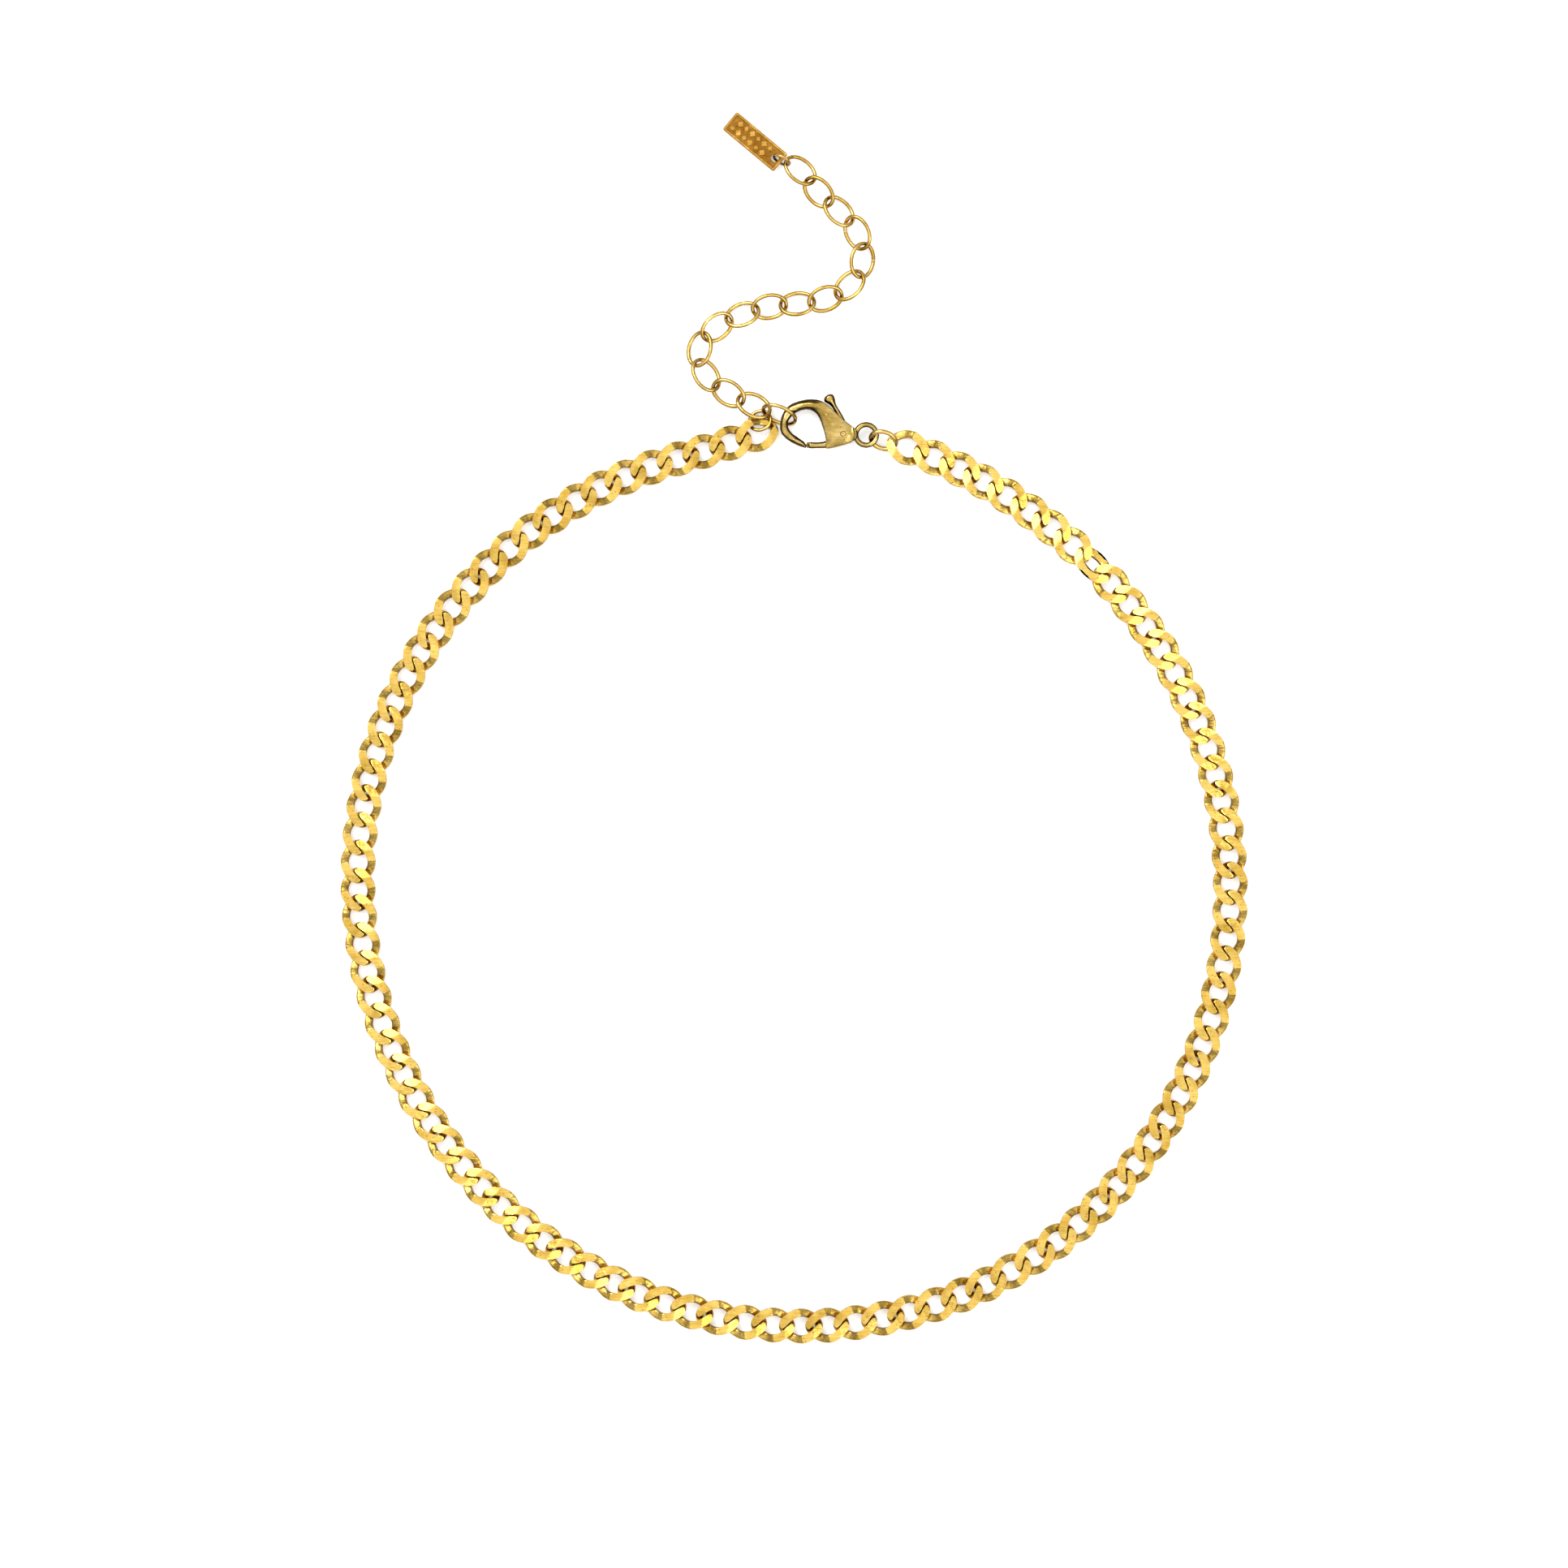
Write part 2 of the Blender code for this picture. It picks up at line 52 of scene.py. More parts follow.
# The loop of the chain, as the CAD has it: angles run clockwise from the top
LOOP_CENTRE = Vector((0.09 * MM, -20.2 * MM))
LOOP_RADIUS = 56.3 * MM
OVAL_RADIUS = 0.47 * MM
OVAL_ANGLE = math.radians(-25)
TRIANGLE_RADIUS = 0.09 * MM
TRIANGLE_ANGLE = math.radians(34)
PULL_RADIUS = 2.08 * MM
PULL_ANGLE = math.radians(0.2)
PULL_SPREAD_BEFORE = math.radians(8)
PULL_SPREAD_AFTER = math.radians(26)
FIRST_LINK_ANGLE = math.radians(14.5)
LAST_LINK_ANGLE = math.radians(355.2)
ARC_STEPS = 3600
HEADING_STEP = 0.001
LINK_COUNT = 96
RUN_SLACK = 0.2 * MM
QUARTER = 25
RUNS_PER_QUARTER = 8
LINKS_PER_RUN = 3
LAST_MIRRORED_LINK = 8

# A curb link
LINK_LENGTH = 5.68 * MM
LINK_WIDTH = 4.5 * MM
LINK_WIRE = 1.05 * MM
LINK_TWIST = math.radians(44)
LINK_MIDDLE = 0.78 * MM
LINK_FLAT = 0.68 * MM
END_FACET_START = 1.55 * MM
END_FACET_SLOPE = 0.34
LINK_STEPS = 72
LINK_SIDES = 24
ROUND = 2
LINK_CREASE = 22
RAIL_LEAN = 0.22
RAIL_REACH = 1.15
RAIL_SQUARE = 5.0
RAIL_HEIGHT = 0.96

# Rings of plain wire. The CAD's wire has six sides. The shown wire is round, and wider than the CAD's
# corners by 1 / cos of half a side's angle.
RING_STEPS = 72
RING_SIDES = 14
RING_CREASE = 50
RING_CUT = 0.05 * MM
CAD_HALF_SIDE_ANGLE = math.pi / 6
AXIS_ROUNDS = 200
LONG_WAY_GUESS = Vector((1.0, 0.3, 0.1))
SHORT_WAY_GUESS = Vector((0.2, 0.1, 1.0))
EXTENDER_RINGS = 16
EXTENDER_THICKER = 1.03
EXTENDER_CUT_START = 70
EXTENDER_CUT_TURN = 31
# The other rings: node, angle of its cut in degrees, how much thicker again it is shown
LONE_RINGS = (
    ("clasp_jump_ring", 80, 1.3),
    ("end_jump_ring", 200, 1.3),
    ("tag_ring", 30, 1.05),
)

# The clasp, in the CAD's own outlines
CLASP_CENTRE = Vector((3.0 * MM, 39.0 * MM, 1.25 * MM))
HOOK_OUTLINE = [
    (-1.5, -3.15), (-3.3, -2.45), (-4.6, -1.35), (-4.8, 0), (-4.35, 1.5), (-3.3, 2.55), (-1.4, 3.1),
    (-0.1, 3.05), (0.9, 2.65), (2.0, 1.7), (3.35, 0.45), (4.5, -0.45), (4.95, -0.95), (4.95, -1.9),
    (4.2, -2.45), (3.1, -2.8), (1.9, -3.1), (1.05, -3.15), (1.1, -2.1), (0.75, -0.65), (0.15, 0.85),
    (-0.5, 1.55), (-1.5, 1.8), (-2.75, 1.4), (-3.7, 0.45), (-3.75, -0.5), (-3.15, -1.35), (-1.7, -2.35),
]
LEVER_OUTLINE = [
    (-1.1, -3.1), (0, -3.15), (1.6, -3.05), (2.8, -2.45), (3.7, -1.95), (3.95, -1.3), (3.85, -0.5),
    (3.5, 0.5), (2.9, 1.6), (2.2, 2.7), (1.85, 3.5), (1.45, 3.75), (1.1, 3.5), (1.2, 2.95), (1.95, 2.0),
    (2.55, 0.7), (2.7, -0.5), (2.2, -1.5), (1.2, -2.2), (0, -2.4), (-1.1, -2.4),
]
OUTLINE_STEPS = 24
RELAX_SHARE = 0.5
CLASP_RELAX_ROUNDS = 5
LEVER_RELAX_ROUNDS = 3
CLASP_VOXEL = 0.06 * MM
LEVER_VOXEL = 0.045 * MM
SLOT_HALF = 0.7 * MM
HOOK_END = -1.2 * MM
BODY_START = 1.0 * MM
BODY_END = 4.3 * MM
EYE_START = 5.0 * MM
HOOK_REACH = 0.62 * MM
BODY_REACH = 1.4 * MM
LEVER_REACH = 0.36 * MM
EDGE_SHARE = 0.22
RIDGE_POWER = 1.3
KNOB_START = 2.2 * MM
KNOB_TOP = 3.1 * MM
KNOB_RISE = 0.7
KNOB_WIDEN = 0.75
KNOB_ACROSS = Vector((0.86, 0.51, 0))
KNOB_MIDDLE = Vector((1.6 * MM, 3.2 * MM, 0))

# The tag
TAG_HALF_LENGTH = 4.25 * MM
TAG_HALF_WIDTH = 1.45 * MM
TAG_CREASE = 30
TAG_RIM = 0.26 * MM
TAG_FACE_DEPTH = 0.17 * MM
TAG_CORNER = 0.12 * MM
TAG_RECESS_CORNER = 0.05 * MM
CORNER_STEPS = 3
TAG_HOLE_INSET = 0.95 * MM
TAG_HOLE_RADIUS = 0.5 * MM
TAG_HOLE_SIDES = 48
PATTERN_COLUMNS = 6
PATTERN_ROWS = 2
PATTERN_START = 0.9 * MM
PATTERN_PITCH = 0.98 * MM
PATTERN_ROW_GAP = 1.05 * MM
PATTERN_SIZE = 0.62 * MM
PATTERN_SMALL = 0.78
PATTERN_HEIGHT = 0.13 * MM
PATTERN_CORNER = 0.02 * MM
PATTERN_TURN = math.pi / 4

# View: straight down on the necklace
VIEW_CENTRE = Vector((-1.3 * MM, -7.25 * MM))
VIEW_WIDTH = 201.5 * MM
VIEW_DISTANCE = 900 * MM
SENSOR_WIDTH = 36.0
NEAREST_SEEN = 0.01

# Stage: pale paper under a sky that is brightest straight above, and two soft lamps
FLOOR_SIZE = 1.6
FLOOR_LEVEL = -0.08 * MM
PAPER_COLOUR = (0.93, 0.93, 0.93)
PAPER_ROUGHNESS = 0.9
PAPER_GLOW = 0.3
SKY_STRENGTH = 1.3
SKY_WARMTH = 0.98
# Height above the horizon, where 1 is straight up, and brightness there
SKY_STOPS = ((0.0, 0.42), (0.22, 0.30), (0.40, 0.22), (0.56, 0.50), (0.72, 1.00), (1.0, 1.15))
# Name, place in metres, size in metres, power in watts
LAMPS = (
    ("key", (-0.35, 0.45, 0.75), 0.5, 3.6),
    ("fill", (0.50, -0.40, 0.65), 0.5, 1.6),
)

# Each metal. Steep sides get painted shade: a surface takes the full shade colour below the first level of
# "upright" and none above the second, where 1 faces straight up or down. "roughness" runs from the
# smoothest polish to the roughest.
GOLDS = {
    "curb": {
        "light": (0.76, 0.52, 0.130),
        "deep": (0.56, 0.35, 0.058),
        "painted_side_shade": (0.33, 0.22, 0.11),
        "upright": (0.20, 0.72),
        "roughness": (0.14, 0.30),
        "relief": 0.38,
    },
    "rings": {
        "light": (0.76, 0.53, 0.165),
        "deep": (0.50, 0.30, 0.045),
        "painted_side_shade": (0.30, 0.18, 0.05),
        "upright": (0.30, 0.86),
        "roughness": (0.10, 0.24),
        "relief": 0.25,
    },
    "clasp": {
        "light": (0.64, 0.46, 0.160),
        "deep": (0.38, 0.255, 0.060),
        # The clasp's painted shade is nearly black and starts on gentle slopes, giving dark streaks along
        # its edges.
        "painted_side_shade": (0.10, 0.075, 0.03),
        "upright": (0.74, 0.985),
        "roughness": (0.07, 0.16),
        "relief": 0.20,
    },
    "tag": {
        "light": (0.58, 0.335, 0.078),
        "deep": (0.40, 0.21, 0.030),
        "painted_side_shade": (0.36, 0.22, 0.10),
        "upright": (0.25, 0.80),
        "roughness": (0.26, 0.44),
        "relief": 0.50,
    },
    "steel": {
        "light": (0.52, 0.51, 0.490),
        "deep": (0.40, 0.39, 0.370),
        "painted_side_shade": (0.40, 0.40, 0.40),
        "upright": (0.25, 0.80),
        "roughness": (0.22, 0.38),
        "relief": 0.30,
    },
}
WHITE = (1.0, 1.0, 1.0)
PATCH_SCALE = 420.0
PATCH_DETAIL = 6.0
PATCH_SPAN = (0.35, 0.60)
DENT_SCALE = 900.0
DENT_DETAIL = 2.0
PIT_SCALE = 1500.0
PIT_SPAN = (0.10, 0.22)
PIT_COLOUR = (0.45, 0.36, 0.24)
PIT_SHARE = 0.60
PIT_DEPTH = 0.10
SCRATCH_SCALE = (500.0, 6500.0, 2500.0)
SCRATCH_TURN = (0.3, 0.2, 0.8)
SCRATCH_DETAIL = 3.0
SCRATCH_SPAN = (0.36, 0.56)
SCRATCH_COLOUR = (0.74, 0.68, 0.58)
SCRATCH_SHARE = 0.55
SCRATCH_DEPTH = 0.16
HOLLOW_SPAN = (0.1, 0.9)
HOLLOW_COLOUR = (0.52, 0.42, 0.30)
BUMP_DEPTH = 0.22 * MM


# ---------------------------------------------------------------- materials
def gold(slot):
    """Plated metal: patchy colour, painted shade on steep sides, uneven polish, pits and hairline
    scratches.
    """
    look = GOLDS[slot]
    metal = bpy.data.materials.new("metal_" + slot)
    metal.use_nodes = True
    tree = metal.node_tree
    shader = tree.nodes["Principled BSDF"]
    shader.inputs["Metallic"].default_value = 1.0

    def node(kind, **values):
        made = tree.nodes.new(kind)
        for key, value in values.items():
            setattr(made, key, value)
        return made

    def link(source, target):
        tree.links.new(source, target)

    def noise(where, scale, detail):
        made = node("ShaderNodeTexNoise")
        made.inputs["Scale"].default_value = scale
        made.inputs["Detail"].default_value = detail
        link(where, made.inputs["Vector"])
        return made.outputs["Fac"]

    def ramp(source, span, low_colour, high_colour):
        made = node("ShaderNodeValToRGB")
        ends = zip(made.color_ramp.elements, span, (low_colour, high_colour))
        for end, position, colour in ends:
            end.position = position
            end.color = (*colour, 1.0)
        link(source, made.inputs["Fac"])
        return made.outputs["Color"]

    def times(first, second, share):
        made = node("ShaderNodeMix", data_type="RGBA", blend_type="MULTIPLY")
        made.inputs["Factor"].default_value = share
        link(first, made.inputs["A"])
        link(second, made.inputs["B"])
        return made.outputs["Result"]

    def total(first, second, share):
        made = node("ShaderNodeMath", operation="MULTIPLY_ADD")
        made.inputs[1].default_value = share
        link(second, made.inputs[0])
        link(first, made.inputs[2])
        return made.outputs["Value"]

    place = node("ShaderNodeTexCoord")
    spot = place.outputs["Object"]
    patches = ramp(noise(spot, PATCH_SCALE, PATCH_DETAIL), PATCH_SPAN, look["deep"], look["light"])

    stretch = node("ShaderNodeMapping")
    stretch.inputs["Rotation"].default_value = SCRATCH_TURN
    stretch.inputs["Scale"].default_value = SCRATCH_SCALE
    link(spot, stretch.inputs["Vector"])
    hairlines = noise(stretch.outputs["Vector"], 1.0, SCRATCH_DETAIL)
    streaks = ramp(hairlines, SCRATCH_SPAN, SCRATCH_COLOUR, WHITE)

    cells = node("ShaderNodeTexVoronoi", feature="F1")
    cells.inputs["Scale"].default_value = PIT_SCALE
    link(spot, cells.inputs["Vector"])
    pits = ramp(cells.outputs["Distance"], PIT_SPAN, PIT_COLOUR, WHITE)

    facing = node("ShaderNodeSeparateXYZ")
    link(place.outputs["Normal"], facing.inputs["Vector"])
    level = node("ShaderNodeMath", operation="ABSOLUTE")
    link(facing.outputs["Z"], level.inputs[0])
    # Painted shade on steep sides: the further a surface leans from flat, the closer its colour comes to
    # the dark shade colour.
    sides = ramp(level.outputs["Value"], look["upright"], look["painted_side_shade"], WHITE)
    worn = times(times(patches, streaks, SCRATCH_SHARE), pits, PIT_SHARE)
    colour = times(worn, sides, 1.0)
    if slot == "tag":
        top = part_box("tag")[1][2]
        depth = node("ShaderNodeSeparateXYZ")
        link(spot, depth.inputs["Vector"])
        hollow = node("ShaderNodeMapRange")
        hollow.inputs["From Min"].default_value = top - TAG_FACE_DEPTH
        hollow.inputs["From Max"].default_value = top - TAG_FACE_DEPTH / 3
        link(depth.outputs["Z"], hollow.inputs["Value"])
        patina = ramp(hollow.outputs["Result"], HOLLOW_SPAN, HOLLOW_COLOUR, WHITE)
        colour = times(colour, patina, 1.0)
    link(colour, shader.inputs["Base Color"])

    polish = node("ShaderNodeMapRange")
    smooth, rough = look["roughness"]
    polish.inputs["To Min"].default_value = smooth
    polish.inputs["To Max"].default_value = rough
    link(hairlines, polish.inputs["Value"])
    link(polish.outputs["Result"], shader.inputs["Roughness"])

    dents = noise(spot, DENT_SCALE, DENT_DETAIL)
    height = total(total(dents, hairlines, SCRATCH_DEPTH), cells.outputs["Distance"], PIT_DEPTH)
    bump = node("ShaderNodeBump")
    bump.inputs["Strength"].default_value = look["relief"]
    bump.inputs["Distance"].default_value = BUMP_DEPTH
    link(height, bump.inputs["Height"])
    link(bump.outputs["Normal"], shader.inputs["Normal"])
    return metal


METALS = {slot: gold(slot) for slot in GOLDS}


# ---------------------------------------------------------------- helpers
def finish_piece(name, mesh, slot, body, *nodes):
    """A shown piece that rides on a body and stands for its CAD nodes."""
    item = bpy.data.objects.new(name, mesh)
    if not mesh.materials:
        mesh.materials.append(METALS[slot])
    bpy.context.scene.collection.objects.link(item)
    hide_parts(*nodes)
    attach(item, body)
    return item


def shade(mesh, angle):
    """Smooth shading, with edges sharper than an angle kept crisp."""
    mesh.shade_smooth()
    mesh.set_sharp_from_angle(angle=math.radians(angle))


def section(sides, half_width, half_height, roundness):
    """The outline of a wire's section: round where roundness is ROUND, and squarer above it."""
    outline = []
    for side in range(sides):
        turn = 2 * math.pi * (side + 0.5) / sides
        across = math.copysign(abs(math.cos(turn)) ** (2 / roundness), math.cos(turn))
        up = math.copysign(abs(math.sin(turn)) ** (2 / roundness), math.sin(turn))
        outline.append((half_width * across, half_height * up))
    return outline


def tube_mesh(name, centres, frames, outlines, closed):
    """A tube round a list of points. Each frame is the pair of vectors across the wire."""
    work = bmesh.new()
    rings = []
    for centre, (across, up), outline in zip(centres, frames, outlines):
        rings.append([work.verts.new(centre + x * across + y * up) for x, y in outline])
    count = len(rings)
    sides = len(rings[0])
    for index in range(count if closed else count - 1):
        here = rings[index]
        ahead = rings[(index + 1) % count]
        for side in range(sides):
            far = (side + 1) % sides
            work.faces.new((here[side], here[far], ahead[far], ahead[side]))
    if not closed:
        work.faces.new(list(reversed(rings[0])))
        work.faces.new(rings[-1])
    bmesh.ops.recalc_face_normals(work, faces=work.faces)
    mesh = bpy.data.meshes.new(name)
    work.to_mesh(mesh)
    work.free()
    return mesh


def mesh_after_modifiers(item):
    """The mesh that an object's modifiers make of it."""
    bpy.context.view_layer.update()
    shown = item.evaluated_get(bpy.context.evaluated_depsgraph_get())
    return bpy.data.meshes.new_from_object(shown)


def mesh_object(name, work):
    """An object in the scene with the mesh that has been built up in work, which is then freed."""
    mesh = bpy.data.meshes.new(name)
    work.to_mesh(mesh)
    work.free()
    item = bpy.data.objects.new(name, mesh)
    bpy.context.scene.collection.objects.link(item)
    return item


def body_of_node(node):
    """The body that a CAD node belongs to."""
    for body, nodes in frame["record"]["behaviour"]["bodies"].items():
        if node in nodes:
            return body
    raise ValueError(node)


# ---------------------------------------------------------------- the curb chain
def loop_radius(angle):
    """Radius of the loop: nearly round, and pulled out to the clasp at the top."""
    turn = (angle - PULL_ANGLE + math.pi) % (2 * math.pi) - math.pi
    spread = PULL_SPREAD_BEFORE if turn < 0 else PULL_SPREAD_AFTER
    oval = OVAL_RADIUS * math.cos(2 * (angle - OVAL_ANGLE))
    triangle = TRIANGLE_RADIUS * math.cos(3 * (angle - TRIANGLE_ANGLE))
    return LOOP_RADIUS + oval + triangle + PULL_RADIUS * math.exp(-(turn / spread) ** 2)


def loop_point(angle):
    """A point of the loop, at an angle clockwise from the top."""
    radius = loop_radius(angle)
    return LOOP_CENTRE + Vector((radius * math.sin(angle), radius * math.cos(angle)))


def run_ends():
    """The first and last link of each CAD run of links."""
    runs = []
    for quarter in range(4):
        start = quarter * QUARTER + 1
        for run in range(RUNS_PER_QUARTER):
            last = start + LINKS_PER_RUN - 1
            if run == RUNS_PER_QUARTER - 1:
                last = (quarter + 1) * QUARTER
            if start <= LINK_COUNT:
                runs.append((start, min(last, LINK_COUNT)))
            start = last + 1
    return runs


def link_places():
    """Place and heading of each link, evenly along the loop."""
    lasts = {last for _, last in run_ends()}
    slack = [0.0]
    for link in range(1, LINK_COUNT):
        slack.append(slack[-1] - (RUN_SLACK if link in lasts else 0.0))
    span = LAST_LINK_ANGLE - FIRST_LINK_ANGLE
    angles = [FIRST_LINK_ANGLE + span * step / ARC_STEPS for step in range(ARC_STEPS + 1)]
    lengths = [0.0]
    for before, after in zip(angles, angles[1:]):
        lengths.append(lengths[-1] + (loop_point(after) - loop_point(before)).length)
    pitch = (lengths[-1] - slack[-1]) / (LINK_COUNT - 1)
    places = []
    spot = 0
    for link in range(LINK_COUNT):
        goal = link * pitch + slack[link]
        while spot < ARC_STEPS - 1 and lengths[spot + 1] < goal:
            spot += 1
        share = (goal - lengths[spot]) / (lengths[spot + 1] - lengths[spot])
        angle = angles[spot] + share * (angles[spot + 1] - angles[spot])
        ahead = loop_point(angle + HEADING_STEP) - loop_point(angle - HEADING_STEP)
        places.append((loop_point(angle), math.atan2(ahead.y, ahead.x)))
    return places


def link_twists(number):
    """Twist at the start and at the end of a link. The first links are laid the other way."""
    start = -1 if number <= LAST_MIRRORED_LINK + 1 else 1
    end = -1 if number <= LAST_MIRRORED_LINK else 1
    return start, end


def link_centre(turn, start, end):
    """A point of a link's twisted centreline."""
    ahead = (1 + math.cos(turn)) / 2
    twist = LINK_TWIST * (start * (1 - ahead) - end * ahead)
    side = (LINK_WIDTH - LINK_WIRE) / 2 * math.sin(turn)
    along = (LINK_LENGTH - LINK_WIRE) / 2 * math.cos(turn)
    return Vector((along, side * math.cos(twist), side * math.sin(twist)))


def curb_link_mesh(start, end):
    """A twisted link with flat rails, ground to a level facet where it crosses the next link."""
    turns = [2 * math.pi * step / LINK_STEPS for step in range(LINK_STEPS)]
    centres = [link_centre(turn, start, end) for turn in turns]
    frames = []
    outlines = []
    for index, turn in enumerate(turns):
        ahead = (1 + math.cos(turn)) / 2
        lean = RAIL_LEAN * LINK_TWIST * (start * (1 - ahead) - end * ahead)
        along = (centres[(index + 1) % LINK_STEPS] - centres[index - 1]).normalized()
        across = along.cross(Vector((0, -math.sin(lean), math.cos(lean)))).normalized()
        frames.append((across, across.cross(along).normalized()))
        rail = min(1.0, RAIL_REACH * abs(math.sin(turn)))
        roundness = ROUND + (RAIL_SQUARE - ROUND) * rail ** 2
        outlines.append(section(LINK_SIDES, LINK_WIRE / 2, LINK_WIRE / 2 * RAIL_HEIGHT, roundness))
    mesh = tube_mesh(f"curb_link_{start}_{end}", centres, frames, outlines, True)
    for vertex in mesh.vertices:
        fall = END_FACET_SLOPE * max(0.0, abs(vertex.co.x) - END_FACET_START)
        level = LINK_FLAT - fall
        vertex.co.z = max(-level, min(level, vertex.co.z))
    shade(mesh, LINK_CREASE)
    return mesh


def add_chain():
    """All the curb links, each a piece of its own on its run's body."""
    shapes = {twists: curb_link_mesh(*twists) for twists in ((-1, -1), (-1, 1), (1, 1))}
    places = link_places()
    for index, (first, last) in enumerate(run_ends(), start=1):
        for number in range(first, last + 1):
            place, heading = places[number - 1]
            mesh = shapes[link_twists(number)].copy()
            mesh.transform(Matrix.Translation((*place, LINK_MIDDLE)) @ Matrix.Rotation(heading, 4, "Z"))
            name = f"curb_link_{number:02d}"
            finish_piece(name, mesh, "curb", f"run_{index:02d}", f"curb_run_{index:02d}")


# ---------------------------------------------------------------- rings
def ring_axes(node):
    """Centre, long way, short way and wire of a CAD ring, measured on its own points."""
    points = [vertex.co.copy() for vertex in frame["nodes"][node].data.vertices]
    centre = sum(points, Vector()) / len(points)
    spread = Matrix(((0, 0, 0), (0, 0, 0), (0, 0, 0)))
    for point in points:
        arm = (point - centre) / MM
        for row in range(3):
            for column in range(3):
                spread[row][column] += arm[row] * arm[column]
    long_way = LONG_WAY_GUESS
    for _ in range(AXIS_ROUNDS):
        long_way = (spread @ long_way).normalized()
    strength = (spread @ long_way).length
    rest = spread - Matrix([[a * b * strength for b in long_way] for a in long_way])
    short_way = long_way.cross(SHORT_WAY_GUESS)
    for _ in range(AXIS_ROUNDS):
        short_way = (rest @ short_way).normalized()
    short_way = (short_way - long_way * short_way.dot(long_way)).normalized()
    normal = long_way.cross(short_way)
    ways = (long_way, short_way, normal)
    reach = [max((point - centre).dot(way) for point in points) for way in ways]
    return centre, long_way, short_way, normal, reach


def add_ring(node, cut_angle, thicker):
    """A ring of smooth round wire with the fine cut where it was closed."""
    centre, long_way, short_way, normal, reach = ring_axes(node)
    wire = 2 * reach[2] / math.cos(CAD_HALF_SIDE_ANGLE)
    half_long = reach[0] - wire / 2
    half_short = reach[1] - wire / 2
    gap = RING_CUT / half_short
    centres = []
    frames = []
    for step in range(RING_STEPS + 1):
        turn = cut_angle + gap / 2 + (2 * math.pi - gap) * step / RING_STEPS
        along = half_long * math.cos(turn) * long_way
        aside = half_short * math.sin(turn) * short_way
        centres.append(centre + along + aside)
        outward = half_short * math.cos(turn) * long_way + half_long * math.sin(turn) * short_way
        frames.append((outward.normalized(), normal))
    outline = section(RING_SIDES, wire * thicker / 2, wire * thicker / 2, ROUND)
    mesh = tube_mesh(node, centres, frames, [outline] * len(centres), False)
    shade(mesh, RING_CREASE)
    finish_piece(node + "_wire", mesh, "rings", body_of_node(node), node)


def add_rings():
    """The extender's rings and the jump rings."""
    for index in range(1, EXTENDER_RINGS + 1):
        thicker = 1.0 if index == EXTENDER_RINGS else EXTENDER_THICKER
        cut = EXTENDER_CUT_START + EXTENDER_CUT_TURN * index
        add_ring(f"extender_ring_{index:02d}", math.radians(cut), thicker)
    for node, cut, thicker in LONE_RINGS:
        add_ring(node, math.radians(cut), thicker)


# ---------------------------------------------------------------- clasp
def paint(node, slot):
    """Puts a finish on a CAD node that is shown as it is."""
    item = frame["nodes"][node]
    if not item.material_slots:
        item.data.materials.append(METALS[slot])
    for place in item.material_slots:
        place.material = METALS[slot]


def smooth_outline(points):
    """Points close together along the smooth closed outline through a few points."""
    outline = []
    count = len(points)
    for index in range(count):
        near = [Vector(points[(index + step) % count]) * MM for step in (-1, 0, 1, 2)]
        before, here, after, beyond = near
        for step in range(OUTLINE_STEPS):
            t = step / OUTLINE_STEPS
            bend = (2 * before - 5 * here + 4 * after - beyond) * t ** 2
            twist = (3 * here - before - 3 * after + beyond) * t ** 3
            outline.append((2 * here + (after - before) * t + bend + twist) / 2)
    return outline


def fine_copy(node, voxel):
    """A fine, even mesh of a CAD node's shape."""
    item = bpy.data.objects.new(node, frame["nodes"][node].data.copy())
    bpy.context.scene.collection.objects.link(item)
    remesh = item.modifiers.new("even", "REMESH")
    remesh.mode = "VOXEL"
    remesh.voxel_size = voxel
    mesh = mesh_after_modifiers(item)
    bpy.data.objects.remove(item, do_unlink=True)
    mesh.materials.clear()
    return mesh


def edge_finder(points):
    """Finds how far a point lies from an outline, seen from above."""
    outline = smooth_outline(points)
    tree = kdtree.KDTree(len(outline))
    for index, point in enumerate(outline):
        tree.insert((point.x, point.y, 0), index)
    tree.balance()
    return lambda point: tree.find((point.x, point.y, 0))[2]


def dome(distance, reach, ridge=0.0):
    """Share of the full thickness left at a distance from the edge: a round dome, or a ridge."""
    inward = 1 - min(distance, reach) / reach
    rise = (1 - ridge) * math.sqrt(1 - inward ** 2) + ridge * (1 - inward ** RIDGE_POWER)
    return EDGE_SHARE + (1 - EDGE_SHARE) * rise


def blend(value, low, high):
    """Rises smoothly from 0 at low to 1 at high."""
    share = max(0.0, min(1.0, (value - low) / (high - low)))
    return share * share * (3 - 2 * share)


def relax(mesh, rounds):
    """Evens out a mesh's surface."""
    work = bmesh.new()
    work.from_mesh(mesh)
    for _ in range(rounds):
        bmesh.ops.smooth_vert(
            work, verts=work.verts, factor=RELAX_SHARE, use_axis_x=True, use_axis_y=True, use_axis_z=True,
        )
    work.to_mesh(mesh)
    work.free()
    mesh.shade_smooth()


def add_clasp_body():
    """The cast body: a round-wired hook that swells into a domed, slotted body with an eye."""
    mesh = fine_copy("clasp_body", CLASP_VOXEL)
    edge = edge_finder(HOOK_OUTLINE)
    for vertex in mesh.vertices:
        local = vertex.co - CLASP_CENTRE
        body = blend(local.x, HOOK_END, BODY_START)
        eye = blend(local.x, BODY_END, EYE_START)
        core = SLOT_HALF * body
        reach = HOOK_REACH + (BODY_REACH - HOOK_REACH) * body
        domed = dome(edge(local), reach, body) * (1 - eye) + eye
        height = abs(local.z)
        if height > core:
            vertex.co.z = CLASP_CENTRE.z + math.copysign(core + (height - core) * domed, local.z)
    relax(mesh, CLASP_RELAX_ROUNDS)
    finish_piece("clasp_body_cast", mesh, "clasp", "clasp", "clasp_body")


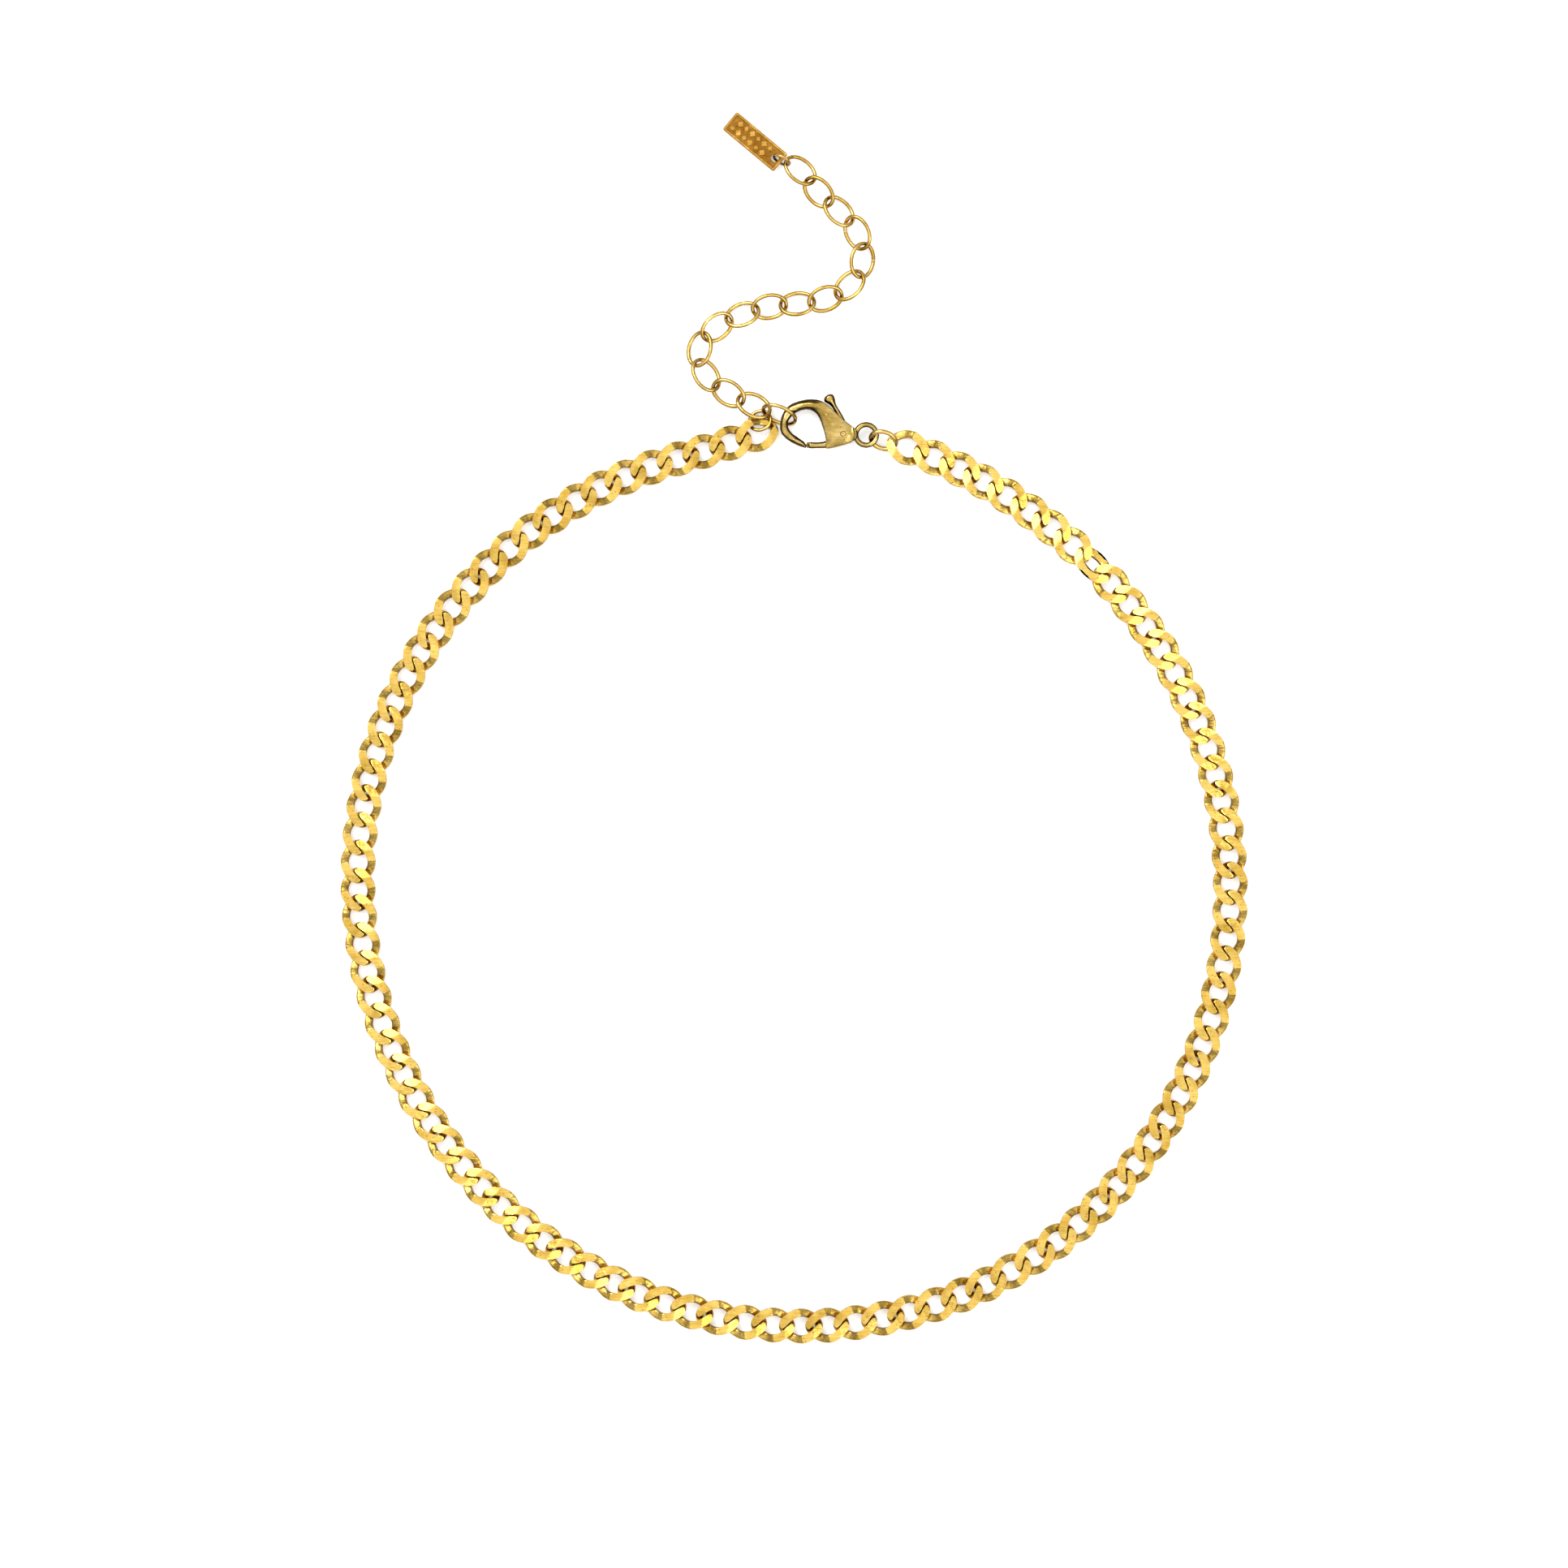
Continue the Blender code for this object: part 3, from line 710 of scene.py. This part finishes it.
def add_clasp_lever():
    """The lever: rounded edges, and a wider thumb knob."""
    mesh = fine_copy("clasp_lever", LEVER_VOXEL)
    edge = edge_finder(LEVER_OUTLINE)
    low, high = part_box("clasp_lever")
    middle = (low[2] + high[2]) / 2
    for vertex in mesh.vertices:
        local = vertex.co - CLASP_CENTRE
        swell = blend(local.y, KNOB_START, KNOB_TOP)
        domed = dome(edge(local), LEVER_REACH)
        vertex.co.z = middle + (vertex.co.z - middle) * domed * (1 + KNOB_RISE * swell)
        vertex.co += KNOB_ACROSS * (local - KNOB_MIDDLE).dot(KNOB_ACROSS) * KNOB_WIDEN * swell
    relax(mesh, LEVER_RELAX_ROUNDS)
    finish_piece("clasp_lever_cast", mesh, "clasp", "lever", "clasp_lever")


def add_clasp():
    """The lobster clasp, with its pin and spring as the CAD has them."""
    add_clasp_body()
    add_clasp_lever()
    paint("clasp_pin", "clasp")
    paint("clasp_spring", "steel")


# ---------------------------------------------------------------- tag
def block(size, at, corner):
    """A box of a size at a place, with rounded edges."""
    work = bmesh.new()
    bmesh.ops.create_cube(work, size=1.0, matrix=Matrix.Translation(at) @ Matrix.Diagonal((*size, 1)))
    bmesh.ops.bevel(work, geom=work.edges[:], offset=corner, segments=CORNER_STEPS, affect="EDGES")
    return mesh_object("block", work)


def drill(at, radius, depth):
    """A round tool that bores a hole."""
    work = bmesh.new()
    bmesh.ops.create_cone(
        work, cap_ends=True, segments=TAG_HOLE_SIDES, radius1=radius, radius2=radius, depth=depth,
        matrix=Matrix.Translation(at),
    )
    return mesh_object("drill", work)


def diamond(column, row, level):
    """One raised diamond of the tag's pattern, large or small by turns."""
    x = -TAG_HALF_LENGTH + PATTERN_START + PATTERN_PITCH * (column + row / 2)
    y = (row - (PATTERN_ROWS - 1) / 2) * PATTERN_ROW_GAP
    size = PATTERN_SIZE * (1.0 if (column + row) % 2 else PATTERN_SMALL)
    item = block((size, size, 2 * PATTERN_HEIGHT), (0, 0, 0), PATTERN_CORNER)
    turned = Matrix.Rotation(PATTERN_TURN, 4, "Z")
    item.data.transform(Matrix.Translation((x, y, level)) @ turned)
    return item


def combine(item, operation, tools):
    """Adds tools to an object or cuts them from it, without applying that yet."""
    for tool in tools:
        change = item.modifiers.new(operation, "BOOLEAN")
        change.operation = operation
        change.solver = "EXACT"
        change.object = tool


def tag_heading():
    """Heading of the tag's long way, towards the end with its hole, which lies to the right."""
    long_way = ring_axes("tag")[1]
    heading = math.atan2(long_way.y, long_way.x)
    if math.cos(heading) < 0:
        heading += math.pi
    return heading


def add_tag():
    """A stamped tag: raised rim, recessed face with a plain diamond pattern, and a hole."""
    low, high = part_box("tag")
    thick = high[2] - low[2]
    size = (2 * TAG_HALF_LENGTH, 2 * TAG_HALF_WIDTH, thick)
    hollow = (2 * TAG_HALF_LENGTH - 2 * TAG_RIM, 2 * TAG_HALF_WIDTH - 2 * TAG_RIM, 2 * TAG_FACE_DEPTH)
    plate = block(size, (0, 0, 0), TAG_CORNER)
    recess = block(hollow, (0, 0, thick / 2), TAG_RECESS_CORNER)
    hole = drill((TAG_HALF_LENGTH - TAG_HOLE_INSET, 0, 0), TAG_HOLE_RADIUS, 4 * thick)
    face = thick / 2 - TAG_FACE_DEPTH
    diamonds = []
    for row in range(PATTERN_ROWS):
        for column in range(PATTERN_COLUMNS):
            diamonds.append(diamond(column, row, face))
    combine(plate, "DIFFERENCE", (recess, hole))
    combine(plate, "UNION", diamonds)
    mesh = mesh_after_modifiers(plate)
    for item in (plate, recess, hole, *diamonds):
        bpy.data.objects.remove(item, do_unlink=True)
    centre = Vector(((low[0] + high[0]) / 2, (low[1] + high[1]) / 2, 0))
    lift = Vector((0, 0, high[2] - thick / 2))
    mesh.transform(Matrix.Translation(centre + lift) @ Matrix.Rotation(tag_heading(), 4, "Z"))
    shade(mesh, TAG_CREASE)
    mesh.materials.clear()
    finish_piece("tag_plate", mesh, "tag", "tag", "tag")


# ---------------------------------------------------------------- stage
def add_floor():
    """A plain floor of pale paper that glows a little, so that shadows on it stay faint."""
    bpy.ops.mesh.primitive_plane_add(size=FLOOR_SIZE, location=(0, 0, FLOOR_LEVEL))
    floor = bpy.context.object
    floor.name = "floor"
    paper = bpy.data.materials.new("paper")
    paper.use_nodes = True
    shader = paper.node_tree.nodes["Principled BSDF"]
    shader.inputs["Base Color"].default_value = (*PAPER_COLOUR, 1.0)
    shader.inputs["Roughness"].default_value = PAPER_ROUGHNESS
    shader.inputs["Emission Color"].default_value = (*WHITE, 1.0)
    shader.inputs["Emission Strength"].default_value = PAPER_GLOW
    floor.data.materials.append(paper)


def add_sky():
    """A soft studio sky, brightest straight above."""
    world = bpy.data.worlds.new("studio")
    bpy.context.scene.world = world
    world.use_nodes = True
    tree = world.node_tree
    ground = tree.nodes["Background"]
    place = tree.nodes.new("ShaderNodeTexCoord")
    parts = tree.nodes.new("ShaderNodeSeparateXYZ")
    sky = tree.nodes.new("ShaderNodeValToRGB")
    while len(sky.color_ramp.elements) < len(SKY_STOPS):
        sky.color_ramp.elements.new(0.5)
    for stop, (height, level) in zip(sky.color_ramp.elements, SKY_STOPS):
        stop.position = height
        stop.color = (level, level, level * SKY_WARMTH, 1.0)
    tree.links.new(place.outputs["Generated"], parts.inputs["Vector"])
    tree.links.new(parts.outputs["Z"], sky.inputs["Fac"])
    tree.links.new(sky.outputs["Color"], ground.inputs["Color"])
    ground.inputs["Strength"].default_value = SKY_STRENGTH


def add_lamps():
    """Soft lamps that face the necklace."""
    for name, spot, size, power in LAMPS:
        lamp = bpy.data.lights.new(name, "AREA")
        lamp.size = size
        lamp.energy = power
        item = bpy.data.objects.new(name, lamp)
        item.location = spot
        item.rotation_euler = (-Vector(spot)).to_track_quat("-Z", "Y").to_euler()
        bpy.context.scene.collection.objects.link(item)


def add_camera():
    """The camera, high above the necklace and looking straight down."""
    camera = bpy.data.cameras.new("camera")
    camera.sensor_width = SENSOR_WIDTH
    camera.lens = SENSOR_WIDTH * VIEW_DISTANCE / VIEW_WIDTH
    camera.clip_start = NEAREST_SEEN
    item = bpy.data.objects.new("camera", camera)
    item.location = (*VIEW_CENTRE, VIEW_DISTANCE)
    bpy.context.scene.collection.objects.link(item)
    bpy.context.scene.camera = item
    bpy.context.scene.view_settings.view_transform = "Standard"


add_chain()
add_rings()
add_clasp()
add_tag()
add_floor()
add_sky()
add_lamps()
add_camera()
